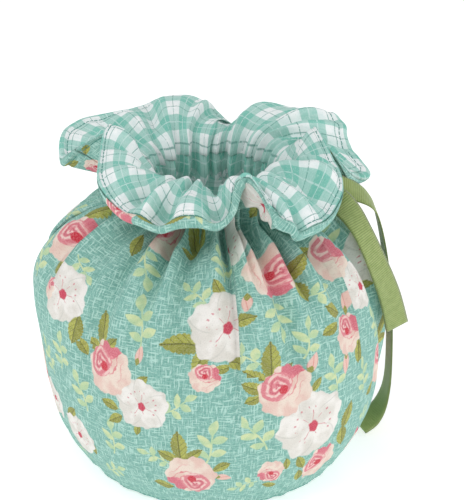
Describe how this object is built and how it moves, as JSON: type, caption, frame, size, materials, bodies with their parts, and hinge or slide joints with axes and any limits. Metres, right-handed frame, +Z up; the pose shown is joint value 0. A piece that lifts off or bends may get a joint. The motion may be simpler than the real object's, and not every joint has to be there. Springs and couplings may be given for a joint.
{
  "type": "tea cosy",
  "caption": "Drawstring tea cosy in padded floral cotton with a check lining, a gathered neck under an open frill, and a green ribbon tie.",
  "frame": {"origin": "middle of the base of the whole object's box, on the surface that the hem stands on", "axes": "+Z up through the neck, +X towards the handle's side opening and the ribbon's tails, -Y towards the front panel"},
  "size_m": [0.2138, 0.199, 0.1981],
  "materials": {
    "print_cloth": "woven cotton, aqua with a crosshatch and roses",
    "check_cloth": "woven cotton, aqua and white check",
    "ribbon": "olive grosgrain, ribbed across"
  },
  "bodies": {
    "root": {"cosy_front": "print_cloth", "cosy_back": "print_cloth", "lining_front": "check_cloth", "lining_back": "check_cloth", "ribbon": "ribbon"}
  },
  "joints": []
}
